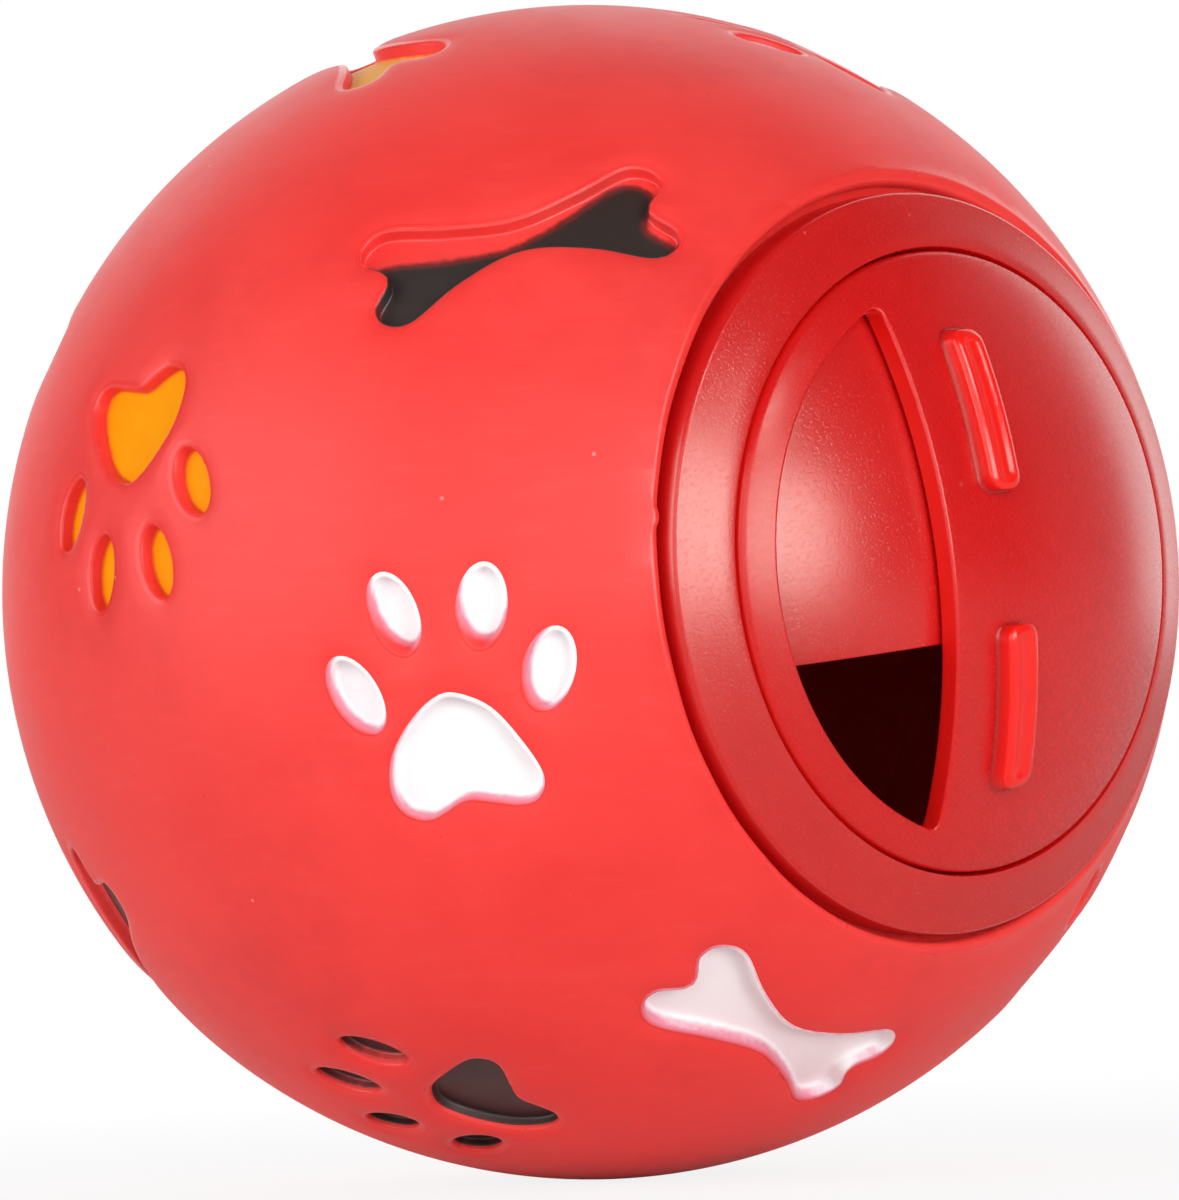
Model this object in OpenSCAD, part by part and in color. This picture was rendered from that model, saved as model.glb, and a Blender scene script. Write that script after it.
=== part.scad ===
// Treat dispensing ball: a hollow rubber ball with sunk paw and bone motifs, and in its mouth a
// plastic insert that carries a turning dial. A treat leaves where the half-moon window of the
// dial lies over the half-moon window of the insert.
// The origin is the centre of the ball. The dial faces -Y, and +Z is up.

/* [Ball] */
// Outside diameter of the rubber ball
ball_d = 75; // [72:0.5:90]
// Thickness of the rubber wall
ball_wall = 5; // [3.5:0.5:6]
// Gap between the rubber mouth and the edge of the ring
mouth_gap = 0.35; // [0.1:0.05:0.8]
// Radius that softens the rim of the mouth
mouth_round = 0.4; // [0.2:0.1:0.8]
// Width of the flat land round the rim of the mouth
mouth_land = 0.35; // [0.1:0.05:0.6]
// Thickness of the rubber lip that grips the neck of the insert
lip_t = 4.8; // [3.5:0.1:6]

/* [Motifs] */
// Depth of the sunk motifs
sunk = 1.1; // [0.6:0.1:2]
// Thickness of the paint on the floor of a motif
paint_t = 0.2; // [0.1:0.05:0.4]
// Width of the large pad of a paw
pad_w = 9.5; // [7:0.1:11]
// Length of a toe
toe_l = 5.3; // [4:0.1:6.5]
// Width of a toe
toe_w = 3.2; // [2.4:0.1:4]
// Length of a bone
bone_l = 19.3; // [15:0.1:22]

/* [Insert] */
// Width of the ring that shows round the dial, seen from the front
ring_w = 3.5; // [2.5:0.1:4]
// Height that the outer edge of the ring stands over the surface of the ball
ring_proud = 0.5; // [0.2:0.1:1]
// Thickness of the ring at its outer edge
ring_t = 2.4; // [1.8:0.1:3]
// Radius on the outer edge of the ring
ring_round = 0.4; // [0.2:0.1:0.8]
// Distance from the pocket of the dial out to the outside of the neck
neck_out = 1.45; // [1.4:0.05:2]
// Thickness of the wall of the neck
neck_t = 1.4; // [1.2:0.05:1.4]
// Height by which the bead stands out of the neck, to snap in behind the rubber lip
bead_out = 1.3; // [0.8:0.1:1.6]
// Height of the bead
bead_h = 1.2; // [0.8:0.1:2]
// Thickness of the domed plate behind the dial
plate_t = 1.5; // [1:0.1:2]
// Distance from the middle of the plate to the straight edge of its window
plate_chord = 4.6; // [4.5:0.1:6]
// Width left between the pocket and the round edge of the window in the plate
plate_rim = 1.75; // [1.4:0.05:4]

/* [Dial] */
// Diameter of the dial, in shares of the diameter of the ball
dial_share = 0.5; // [0.46:0.005:0.51]
// Thickness of the dial
dial_t = 1.3; // [1:0.1:1.8]
// Depth of the dial under the round surface of the ball
dial_sunk = 0.26; // [0:0.02:0.5]
// Distance from the middle of the dial to the straight edge of its window
dial_chord = 5.7; // [5:0.1:7]
// Width left between the edge of the dial and the round edge of its window
dial_rim = 2; // [1.6:0.05:4]
// Radius of the two corners of each window
window_round = 0.5; // [0.3:0.1:1]
// Turn of the dial as it is set in the photograph
dial_turn = 5.8; // [0:0.2:10]
// Turn of the window in the plate
plate_turn = 6.4; // [0:0.2:10]

/* [Grip ribs] */
// Length of a grip rib
rib_l = 9.8; // [8:0.1:11]
// Width of a grip rib
rib_w = 2.45; // [2:0.05:3]
// Height of a grip rib over the dial
rib_h = 1.15; // [0.6:0.05:2]
// Radius on the corners of a grip rib
rib_round = 0.9; // [0.3:0.1:0.95]
// Distance from the middle of the dial to the middle of each rib
rib_out = 8.9; // [8:0.1:10.5]
// Distance of the two ribs to the window's side of the middle
rib_side = 1.2; // [0:0.1:2]
// Lean of each rib, its outer end away from the window
rib_lean = 2.2; // [0:0.1:5]

/* [Stud and hub] */
// Diameter of the stud that the dial turns on
stud_d = 4.9; // [4:0.1:5.4]
// Radial clearance between the stud and the bore of the hub
stud_play = 0.06; // [0.02:0.01:0.1]
// Diameter of the hub round the bore
hub_d = 8.4; // [7.6:0.1:8.6]
// Height of the hub behind the plate
hub_h = 2.8; // [2:0.1:4]
// Height by which the barb of the stud reaches past the bore on each side
barb_reach = 0.45; // [0.3:0.05:0.6]
// Length of the barb along the stud
barb_l = 1.5; // [1:0.1:2]
// Width of the slots that split the stud
slot_w = 0.8; // [0.6:0.1:1]
// Diameter of the hollow in the stud
stud_hollow_d = 2.2; // [1.6:0.1:2.4]

/* [Clearances] */
// Gap round the edge of the dial
dial_gap = 0.2; // [0.1:0.05:0.4]
// Gap between the dial and the plate behind it
dial_float = 0.25; // [0.15:0.05:0.4]
// Gap between the hub and the barb behind it
barb_gap = 0.15; // [0.1:0.05:0.3]
// Gap between the rubber and the insert
rubber_gap = 0.05; // [0.02:0.01:0.1]
// Gap between the paint and the walls of a motif
paint_gap = 0.05; // [0.02:0.01:0.1]

/* [Hidden] */
$fn = 96;

RUBBER = [0.93, 0.24, 0.22];
PLASTIC = [0.80, 0.18, 0.17];
WHITE = [0.98, 0.95, 0.95];
ORANGE = [1.0, 0.62, 0.02];
BLACK = [0.20, 0.17, 0.15];

// Every cut runs past the solid by this much
over = 1;

// Heights along the axis of the dial, from the centre of the ball
ball_r = ball_d / 2;
floor_r = ball_r - sunk;
hollow_r = ball_r - ball_wall;
function height_at(sphere_r, r) = sqrt(sphere_r * sphere_r - r * r);
dome_r = ball_r - dial_sunk;
plate_r = dome_r - dial_t - dial_float;
plate_in_r = plate_r - plate_t;
dial_r = dial_share * ball_d / 2;
dial_window_r = dial_r - dial_rim;
pocket_r = dial_r + dial_gap;
plate_window_r = pocket_r - plate_rim;
ring_r = pocket_r + ring_w;
mouth_r = ring_r + mouth_gap;
ring_edge_z = height_at(ball_r, ring_r) + ring_proud;
ring_under_z = ring_edge_z - ring_t;
seat_z = ring_under_z - rubber_gap;
lip_z = seat_z - lip_t;
neck_r = pocket_r + neck_out;
neck_in_r = neck_r - neck_t;
bead_r = neck_r + bead_out;
bead_top_z = lip_z - rubber_gap;
insert_end_z = bead_top_z - 2 * bead_h;

// The stud and its hub
stud_r = stud_d / 2;
bore_r = stud_r + stud_play;
hub_z = height_at(plate_in_r, hub_d / 2) - hub_h;
barb_z = hub_z - barb_gap;
stud_end_z = barb_z - barb_l;

// Outline of the pad, clockwise from its top, in shares of its width
PAD_SHARES = [[0.05, 0], [0.26, -0.10], [0.43, -0.32], [0.54, -0.55], [0.50, -0.70],
    [0.38, -0.75], [0.18, -0.72], [0.03, -0.70], [-0.10, -0.77], [-0.23, -0.82],
    [-0.38, -0.77], [-0.45, -0.62], [-0.41, -0.38], [-0.26, -0.16], [-0.09, -0.02]];
// Middle of the pad, in shares of its width
PAD_MIDDLE_SHARES = [0.03, -0.43];
// Middle of each toe in shares of the pad's width, and the turn of the toe
TOE_SHARES = [[-0.60, 0.00, 28], [-0.31, 0.49, 18], [0.25, 0.51, -8], [0.63, 0.10, -19]];
// A quarter of a bone's outline, from its waist to the notch in its end, in shares of its length
BONE_SHARES = [[0, 0.078], [0.2, 0.125], [0.38, 0.2], [0.475, 0.165], [0.492, 0.085], [0.43, 0]];
// Sides of a toe, and steps between two points of a smoothed outline
toe_sides = 14;
curve_steps = 2;
// Steps on the round edge of a window and on a rounded corner
window_steps = 40;
corner_steps = 5;

// Where each motif sits: its turn round +Z from the dial, its rise, and its turn in the surface
WHITE_PAW_FRONT_TURNS = [-57.3, -10.8, 0.4];
ORANGE_PAW_LEFT_TURNS = [-92.4, 9.8, 181.5];
BLACK_BONE_UPPER_TURNS = [-50.2, 32.2, 15];
WHITE_BONE_LOWER_TURNS = [-19.5, -49.3, -33];
BLACK_PAW_LOWER_TURNS = [-78.2, -58.4, 87];
ORANGE_BONE_TOP_TURNS = [-105.5, 66.3, 166];
WHITE_PAW_TOP_RIGHT_TURNS = [25.9, 66.1, 6];
BLACK_BONE_REAR_LEFT_TURNS = [-125.6, -37.6, 50.6];
ORANGE_PAW_LOWER_RIGHT_TURNS = [44.3, -33.8, 3.1];
WHITE_BONE_BOTTOM_TURNS = [88, -67, 20];
BLACK_PAW_RIGHT_TURNS = [71, 24, 160];
WHITE_BONE_UPPER_REAR_TURNS = [117.5, 55, -40];
ORANGE_PAW_BOTTOM_REAR_TURNS = [-175, -56, 200];
WHITE_PAW_REAR_TURNS = [-179, -6, 20];
BLACK_BONE_LOWER_REAR_TURNS = [137, -29, 50];
BLACK_PAW_SIDE_TURNS = [90, -16, 10];
ORANGE_PAW_REAR_RIGHT_TURNS = [132, 14, 190];
BLACK_PAW_UPPER_REAR_TURNS = [-178, 41, -30];
WHITE_BONE_REAR_LEFT_TURNS = [-135, 18, 60];
PAWS = [WHITE_PAW_FRONT_TURNS, ORANGE_PAW_LEFT_TURNS, BLACK_PAW_LOWER_TURNS,
    WHITE_PAW_TOP_RIGHT_TURNS, ORANGE_PAW_LOWER_RIGHT_TURNS, BLACK_PAW_RIGHT_TURNS,
    ORANGE_PAW_BOTTOM_REAR_TURNS, WHITE_PAW_REAR_TURNS, BLACK_PAW_SIDE_TURNS,
    ORANGE_PAW_REAR_RIGHT_TURNS, BLACK_PAW_UPPER_REAR_TURNS];
BONES = [BLACK_BONE_UPPER_TURNS, WHITE_BONE_LOWER_TURNS, ORANGE_BONE_TOP_TURNS,
    BLACK_BONE_REAR_LEFT_TURNS, WHITE_BONE_BOTTOM_TURNS, WHITE_BONE_UPPER_REAR_TURNS,
    BLACK_BONE_LOWER_REAR_TURNS, WHITE_BONE_REAR_LEFT_TURNS];

// A point between b and c on the smooth curve through a, b, c and d
function between(a, b, c, d, t) =
    b + t * (c - a) / 2
    + t * t * (2 * a - 5 * b + 4 * c - d) / 2
    + t * t * t * (3 * b - a - 3 * c + d) / 2;

// The closed smooth curve through a ring of points
function smooth_ring(points) = let (n = len(points)) [
    for (i = [0:n - 1], k = [0:curve_steps - 1])
        between(points[(i + n - 1) % n], points[i], points[(i + 1) % n], points[(i + 2) % n],
            k / curve_steps)
];

// A bone's whole outline, by mirroring its quarter
function bone_ring(quarter) = let (n = len(quarter)) concat(
    [for (i = [0:n - 1]) quarter[i]],
    [for (i = [n - 2:-1:0]) [quarter[i][0], -quarter[i][1]]],
    [for (i = [1:n - 1]) [-quarter[i][0], -quarter[i][1]]],
    [for (i = [n - 2:-1:1]) [-quarter[i][0], quarter[i][1]]]
);

// An oval with its length along y
function oval(l, w) = [
    for (i = [0:toe_sides - 1]) let (t = 360 * i / toe_sides) [w / 2 * cos(t), l / 2 * sin(t)]
];

// Turns what is drawn facing +Z to face out of the ball at a place of the list above
module on_ball(place) {
    rotate([90 - place[1], 0, place[0]]) rotate([0, 0, place[2]]) children();
}

// Turns what is drawn facing +Z to face the front of the ball
module on_front() {
    rotate([90, 0, 0]) children();
}

// A paw in the flat, drawn in by a gap all round
module paw_outline(gap) {
    inner_w = pad_w - 2 * gap;
    middle = PAD_MIDDLE_SHARES * pad_w;
    translate(middle)
        polygon([for (p = smooth_ring(PAD_SHARES)) (p - PAD_MIDDLE_SHARES) * inner_w]);
    for (toe = TOE_SHARES)
        translate([toe[0] * pad_w, toe[1] * pad_w])
            rotate([0, 0, toe[2]])
                polygon(oval(toe_l - 2 * gap, toe_w - 2 * gap));
}

// A bone in the flat, drawn in by a gap all round
module bone_outline(gap) {
    polygon([for (p = smooth_ring(bone_ring(BONE_SHARES))) p * (bone_l - 2 * gap)]);
}

// The flat outline carried out of the ball, from just under the floor of the motif
module sunk_shape(place, end_r) {
    on_ball(place)
        translate([0, 0, hollow_r])
            linear_extrude(height = end_r - hollow_r) children();
}

// Everything between the floor of a motif and the outside
module motif_cut(place) {
    difference() {
        sunk_shape(place, ball_r + over) children();
        sphere(r = floor_r);
    }
}

// The film of paint on the floor of a motif
module paint_film(place) {
    film_r = floor_r + paint_gap;
    difference() {
        intersection() {
            sunk_shape(place, ball_r) children();
            sphere(r = film_r + paint_t);
        }
        sphere(r = film_r);
    }
}

module paw_paint(place) {
    paint_film(place) paw_outline(paint_gap);
}

module bone_paint(place) {
    paint_film(place) bone_outline(paint_gap);
}

// Points on an arc of a given centre and radius, from one direction to another
function arc(middle, r, from, to, steps) = [
    for (i = [0:steps]) let (t = from + (to - from) * i / steps) middle + r * [cos(t), sin(t)]
];

// A half-moon: the part of a disc beyond a straight edge on its -x side, with rounded corners
function half_moon(r, chord) = let (
    corner = [-chord - window_round, height_at(r - window_round, chord + window_round)],
    tip_turn = atan2(corner[1], corner[0])
) concat(
    arc([0, 0], r, tip_turn, 360 - tip_turn, window_steps),
    arc([corner[0], -corner[1]], window_round, -tip_turn, 0, corner_steps),
    arc(corner, window_round, 0, tip_turn, corner_steps)
);

// A bar with rounded corners, its length along y
function rib_outline() = [
    for (corner = [[1, 1, 0], [-1, 1, 90], [-1, -1, 180], [1, -1, 270]])
        each arc([corner[0] * (rib_w / 2 - rib_round), corner[1] * (rib_l / 2 - rib_round)],
            rib_round, corner[2], corner[2] + 90, corner_steps)
];

// The way in through the rubber: the flat land, the soft rim, the seat of the ring and the hole
module mouth_cut() {
    flare_r = mouth_r + mouth_round;
    land_r = flare_r + mouth_land;
    land_z = height_at(ball_r, land_r);
    hole_r = neck_r + rubber_gap;
    rotate_extrude()
        polygon(concat(
            [[0, lip_z - over], [hole_r, lip_z - over], [hole_r, seat_z], [mouth_r, seat_z]],
            arc([flare_r, land_z - mouth_round], mouth_round, 180, 90, corner_steps),
            [[land_r, land_z], [land_r, ball_r], [0, ball_r]]
        ));
}

// The hollow of the ball, flat behind the lip, with room for the bead
module hollow() {
    difference() {
        sphere(r = hollow_r);
        translate([0, 0, lip_z]) cylinder(r = ball_r, h = ball_r);
    }
    translate([0, 0, insert_end_z - rubber_gap])
        cylinder(r = bead_r + dial_gap, h = lip_z - insert_end_z + rubber_gap);
}

module ball_shell() {
    color(RUBBER)
        difference() {
            on_front()
                difference() {
                    sphere(r = ball_r);
                    hollow();
                    mouth_cut();
                }
            for (place = PAWS) motif_cut(place) paw_outline(0);
            for (place = BONES) motif_cut(place) bone_outline(0);
        }
}

// The ring, the neck and the bead, turned in one
module ring_and_neck() {
    round_z = ring_edge_z - ring_round;
    rotate_extrude()
        polygon(concat(
            [[pocket_r, height_at(dome_r, pocket_r)]],
            arc([ring_r - ring_round, round_z], ring_round, 90, 0, corner_steps),
            [
                [ring_r, ring_under_z],
                [neck_r, ring_under_z],
                [neck_r, bead_top_z],
                [bead_r, bead_top_z],
                [bead_r, bead_top_z - bead_h],
                [neck_r - neck_t / 2, insert_end_z],
                [neck_in_r, insert_end_z],
                [neck_in_r, height_at(plate_r, pocket_r)],
                [pocket_r, height_at(plate_r, pocket_r)]
            ]
        ));
}

// The domed plate behind the dial
module plate_dome() {
    difference() {
        intersection() {
            sphere(r = plate_r);
            cylinder(r = pocket_r + dial_gap, h = ball_r);
        }
        sphere(r = plate_in_r);
    }
}

module insert() {
    color(PLASTIC)
        on_front()
            difference() {
                union() {
                    ring_and_neck();
                    plate_dome();
                    translate([0, 0, hub_z])
                        cylinder(d = hub_d, h = height_at(plate_r, hub_d / 2) - hub_z);
                }
                rotate([0, 0, 90 + plate_turn])
                    linear_extrude(height = ball_r) polygon(half_moon(plate_window_r, plate_chord));
                cylinder(r = bore_r, h = ball_r);
            }
}

// The dial's dome, cut round and cut by its window
module dial_dome() {
    difference() {
        intersection() {
            sphere(r = dome_r);
            cylinder(r = dial_r, h = ball_r);
        }
        sphere(r = dome_r - dial_t);
        linear_extrude(height = ball_r) polygon(half_moon(dial_window_r, dial_chord));
    }
}

// The two bars that fingers push against
module grip_ribs() {
    difference() {
        intersection() {
            sphere(r = dome_r + rib_h);
            for (side = [-1, 1])
                translate([-rib_side, side * rib_out])
                    rotate([0, 0, -side * rib_lean])
                        linear_extrude(height = ball_r + over) polygon(rib_outline());
        }
        sphere(r = dome_r - dial_t / 2);
    }
}

// The split stud that snaps through the hub
module stud() {
    root_z = dome_r - dial_t / 2;
    barb_r = bore_r + barb_reach;
    difference() {
        union() {
            translate([0, 0, stud_end_z]) cylinder(r = stud_r, h = root_z - stud_end_z);
            translate([0, 0, stud_end_z])
                cylinder(r1 = stud_r, r2 = barb_r, h = barb_l);
        }
        translate([0, 0, stud_end_z - over])
            cylinder(d = stud_hollow_d, h = plate_in_r - stud_end_z + over);
        for (turn = [0, 90])
            rotate([0, 0, turn])
                translate([-barb_r - over, -slot_w / 2, stud_end_z - over])
                    cube([2 * (barb_r + over), slot_w, plate_in_r - stud_end_z + over]);
    }
}

module dial() {
    color(PLASTIC)
        on_front()
            rotate([0, 0, dial_turn]) {
                dial_dome();
                grip_ribs();
                stud();
            }
}

module white_paw_front() { color(WHITE) paw_paint(WHITE_PAW_FRONT_TURNS); }
module orange_paw_left() { color(ORANGE) paw_paint(ORANGE_PAW_LEFT_TURNS); }
module black_bone_upper() { color(BLACK) bone_paint(BLACK_BONE_UPPER_TURNS); }
module white_bone_lower() { color(WHITE) bone_paint(WHITE_BONE_LOWER_TURNS); }
module black_paw_lower() { color(BLACK) paw_paint(BLACK_PAW_LOWER_TURNS); }
module orange_bone_top() { color(ORANGE) bone_paint(ORANGE_BONE_TOP_TURNS); }
module white_paw_top_right() { color(WHITE) paw_paint(WHITE_PAW_TOP_RIGHT_TURNS); }
module black_bone_rear_left() { color(BLACK) bone_paint(BLACK_BONE_REAR_LEFT_TURNS); }
module orange_paw_lower_right() { color(ORANGE) paw_paint(ORANGE_PAW_LOWER_RIGHT_TURNS); }
module white_bone_bottom() { color(WHITE) bone_paint(WHITE_BONE_BOTTOM_TURNS); }
module black_paw_right() { color(BLACK) paw_paint(BLACK_PAW_RIGHT_TURNS); }
module white_bone_upper_rear() { color(WHITE) bone_paint(WHITE_BONE_UPPER_REAR_TURNS); }
module orange_paw_bottom_rear() { color(ORANGE) paw_paint(ORANGE_PAW_BOTTOM_REAR_TURNS); }
module white_paw_rear() { color(WHITE) paw_paint(WHITE_PAW_REAR_TURNS); }
module black_bone_lower_rear() { color(BLACK) bone_paint(BLACK_BONE_LOWER_REAR_TURNS); }
module black_paw_side() { color(BLACK) paw_paint(BLACK_PAW_SIDE_TURNS); }
module orange_paw_rear_right() { color(ORANGE) paw_paint(ORANGE_PAW_REAR_RIGHT_TURNS); }
module black_paw_upper_rear() { color(BLACK) paw_paint(BLACK_PAW_UPPER_REAR_TURNS); }
module white_bone_rear_left() { color(WHITE) bone_paint(WHITE_BONE_REAR_LEFT_TURNS); }

ball_shell();
insert();
dial();
white_paw_front();
orange_paw_left();
black_bone_upper();
white_bone_lower();
black_paw_lower();
orange_bone_top();
white_paw_top_right();
black_bone_rear_left();
orange_paw_lower_right();
white_bone_bottom();
black_paw_right();
white_bone_upper_rear();
orange_paw_bottom_rear();
white_paw_rear();
black_bone_lower_rear();
black_paw_side();
orange_paw_rear_right();
black_paw_upper_rear();
white_bone_rear_left();
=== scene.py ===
"""The treat dispensing ball as it looks: a red rubber ball with painted motifs, and in its mouth
the ring, the window plate and the turning dial. Lengths are in millimetres until a mesh is
made."""

import bmesh
import bpy
import numpy as np
from mathutils import Matrix, Vector
from mathutils.geometry import delaunay_2d_cdt


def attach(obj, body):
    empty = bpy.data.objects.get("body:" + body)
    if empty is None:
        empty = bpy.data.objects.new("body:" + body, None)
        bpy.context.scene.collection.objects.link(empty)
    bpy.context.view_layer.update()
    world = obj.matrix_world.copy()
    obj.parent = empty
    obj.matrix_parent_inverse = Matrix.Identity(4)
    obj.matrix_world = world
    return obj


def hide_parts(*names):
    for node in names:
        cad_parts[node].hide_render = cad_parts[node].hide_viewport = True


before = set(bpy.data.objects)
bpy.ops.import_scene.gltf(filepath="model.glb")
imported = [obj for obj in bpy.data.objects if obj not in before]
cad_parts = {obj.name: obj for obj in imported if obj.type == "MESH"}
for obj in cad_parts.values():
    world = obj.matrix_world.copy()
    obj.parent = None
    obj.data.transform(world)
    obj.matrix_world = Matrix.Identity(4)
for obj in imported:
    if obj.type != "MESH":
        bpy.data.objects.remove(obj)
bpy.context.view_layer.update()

# Sizes of the ball, as the solids have them
BALL_R = 37.5
HOLLOW_R = 32.5
MOUTH_R = 22.8
MOUTH_ROUND = 0.4
MOUTH_LAND = 0.35
SEAT_Z = 28.09
LIP_Z = 23.29
LIP_HOLE_R = 20.45
MOTIF_DEPTH = 1.1

# Sizes of the insert and the dial
DOME_R = 37.24
DIAL_R = 18.75
DIAL_T = 1.3
DIAL_WINDOW_R = 16.75
DIAL_CHORD = 5.7
DIAL_TURN = 5.8
PLATE_R = 35.69
PLATE_T = 1.5
PLATE_WINDOW_R = 17.2
PLATE_CHORD = 4.6
PLATE_TURN = 6.4
WINDOW_ROUND = 0.5
POCKET_R = 18.95
RING_R = 22.45
RING_Z = 30.54
RING_UNDER_Z = 28.14
RING_ROUND = 0.4
NECK_R = 20.4
NECK_IN_R = 19.0
BEAD_R = 21.7
BEAD_Z = 23.24
BEAD_H = 1.2
NECK_END_Z = 20.84
BORE_R = 2.51
HUB_R = 4.2
HUB_Z = 31.13
STUD_R = 2.45
STUD_END_Z = 29.48
BARB_R = 2.96
BARB_L = 1.5
SLOT_W = 0.8
STUD_HOLLOW_R = 1.1
RIB_L = 9.8
RIB_W = 2.45
RIB_H = 1.15
RIB_ROUND = 0.9
RIB_OUT = 8.9
RIB_SIDE = 1.2
RIB_LEAN = 2.2

# Sizes that only the looks have: the soft lip of a motif, the hollow curve at its foot, the lean
# of its wall, the strip of skin beside it, and the shallow dish round it with its rings of points
LIP_SOFT = 0.38
FLOOR_SOFT = 0.16
WALL_LEAN = 0.03
SKIN_STRIP = 0.16
DISH_DEPTH = 0.15
DISH_REACH = 1.3
DISH_RINGS = 0.42, 0.75, 1.15

# The looks of the mouth: the soft corner from the skin to the land, how far back its wall stands,
# how much of the waver the mouth has, and its wall and its land of that, and the nick in its rim,
# with its turn and its width in degrees
CORNER = 0.16
WALL_BACK = 0.12
MOUTH_WAVER = 0.8
WALL_WAVER = 0.35
LAND_WAVER = 1.2
NICK_TURN = 173.5
NICK_WIDTH = 1.1
NICK_DEPTH = 0.16

# The looks of the insert's plate and the dial: the rounds of the outer edges at the rim and at
# each opening, the round of the inner edges, and how fast the painted glow of a wall (a brighter
# red that stands in for light coming through the thin plastic) grows over the depth of a plate,
# or over a millimetre of a rib's height
PLATE_EDGES = 0.12, 0.12, 0.12
DIAL_EDGES = 0.34, 0.2
UNDER_ROUND = 0.1
WALL_GLOW = 3

# How many points the closed lines have
PAD_POINTS = 92
TOE_POINTS = 46
BONE_POINTS = 132
PLATE_WINDOW_POINTS = 260
DIAL_WINDOW_POINTS = 280
MOUTH_POINTS = 360
RIM_POINTS = 240
BORE_POINTS = 64
RIB_POINTS = 120

# Shares of a motif's wall from floor to skin: where its foot ends and its lip starts, over how
# much of it the rubbing of the lip sets in, and where the ball and the paint have rings of points
FOOT_END = 0.2
LIP_START = 0.5
RUBBED_OVER = 0.1
WALL_RINGS = 0, 0.1, 0.2, 0.5, 0.62, 0.74, 0.86, 1
PAINT_RINGS = 0, 0.05, 0.1, 0.15, 0.2, 0.35, 0.5, 0.62, 0.74, 0.86, 1

# How finely flat shapes are filled: the step between points on a floor, a film of paint and a
# plate, the height of a row, and how near to a line a point may come, the last two in steps
FLOOR_STEP = 0.85
PAINT_STEP = 0.5
PLATE_STEP = 0.8
ROW_HEIGHT = 0.866
LINE_CLEAR = 0.6

# The points of the skin: how many there would be on a whole ball, how near to a motif they may
# come, and how far from its middle any motif is looked for
BALL_POINTS = 23000
MOTIF_CLEAR = 1.35
MOTIF_REACH = 13

# The outlines of the motifs, as the solids have them
PAD_W = 9.5
TOE_L = 5.3
TOE_W = 3.2
BONE_L = 19.3
PAD = PAD_W * np.array([
    [0.05, 0], [0.26, -0.10], [0.43, -0.32], [0.54, -0.55], [0.50, -0.70], [0.38, -0.75],
    [0.18, -0.72], [0.03, -0.70], [-0.10, -0.77], [-0.23, -0.82], [-0.38, -0.77],
    [-0.45, -0.62], [-0.41, -0.38], [-0.26, -0.16], [-0.09, -0.02]])
TOES = [(-0.60, 0.00, 28), (-0.31, 0.49, 18), (0.25, 0.51, -8), (0.63, 0.10, -19)]
BONE_QUARTER = BONE_L * np.array([
    [0, 0.078], [0.2, 0.125], [0.38, 0.2], [0.475, 0.165], [0.492, 0.085], [0.43, 0]])

# Every motif: its kind, its paint, and its place as turn, rise and turn in the surface
MOTIFS = {
    "white_paw_front": ("paw", "white", (-57.3, -10.8, 0.4)),
    "orange_paw_left": ("paw", "orange", (-92.4, 9.8, 181.5)),
    "black_bone_upper": ("bone", "black", (-50.2, 32.2, 15)),
    "white_bone_lower": ("bone", "white", (-19.5, -49.3, -33)),
    "black_paw_lower": ("paw", "black", (-78.2, -58.4, 87)),
    "orange_bone_top": ("bone", "orange", (-105.5, 66.3, 166)),
    "white_paw_top_right": ("paw", "white", (25.9, 66.1, 6)),
    "black_bone_rear_left": ("bone", "black", (-125.6, -37.6, 50.6)),
    "orange_paw_lower_right": ("paw", "orange", (44.3, -33.8, 3.1)),
    "white_bone_bottom": ("bone", "white", (88, -67, 20)),
    "black_paw_right": ("paw", "black", (71, 24, 160)),
    "white_bone_upper_rear": ("bone", "white", (117.5, 55, -40)),
    "orange_paw_bottom_rear": ("paw", "orange", (-175, -56, 200)),
    "white_paw_rear": ("paw", "white", (-179, -6, 20)),
    "black_bone_lower_rear": ("bone", "black", (137, -29, 50)),
    "black_paw_side": ("paw", "black", (90, -16, 10)),
    "orange_paw_rear_right": ("paw", "orange", (132, 14, 190)),
    "black_paw_upper_rear": ("paw", "black", (-178, 41, -30)),
    "white_bone_rear_left": ("bone", "white", (-135, 18, 60)),
}


# ---- flat outlines ----

def smooth_ring(points, steps=12):
    """The closed smooth curve through a ring of points. Between b and c, with a before and d
    after, a point is b + t (c-a)/2 + t^2 (2a-5b+4c-d)/2 + t^3 (3b-a-3c+d)/2."""
    a, b, c, d = (np.roll(points, k, axis=0)[:, None, :] for k in (1, 0, -1, -2))
    t = (np.arange(steps) / steps)[None, :, None]
    curve = (b + t * (c - a) / 2 + t ** 2 * (2 * a - 5 * b + 4 * c - d) / 2
             + t ** 3 * (3 * b - a - 3 * c + d) / 2)
    return curve.reshape(-1, 2)


def evenly(ring, count):
    """The same closed line, turning left, with its points at equal steps of its length."""
    x, y = ring.T
    if np.sum(x * np.roll(y, -1) - y * np.roll(x, -1)) < 0:
        ring = ring[::-1]
    closed = np.vstack([ring, ring[:1]])
    run = np.concatenate([[0], np.cumsum(np.hypot(*np.diff(closed, axis=0).T))])
    at = np.linspace(0, run[-1], count, endpoint=False)
    return np.stack([np.interp(at, run, closed[:, k]) for k in (0, 1)], axis=1)


def inward(ring):
    """The unit vector into the closed line at each of its points: the line's own direction,
    from the point before to the point after, turned a quarter to the left."""
    along = np.roll(ring, -1, axis=0) - np.roll(ring, 1, axis=0)
    across = np.stack([-along[:, 1], along[:, 0]], axis=1)
    return across / np.linalg.norm(across, axis=1)[:, None]


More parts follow.
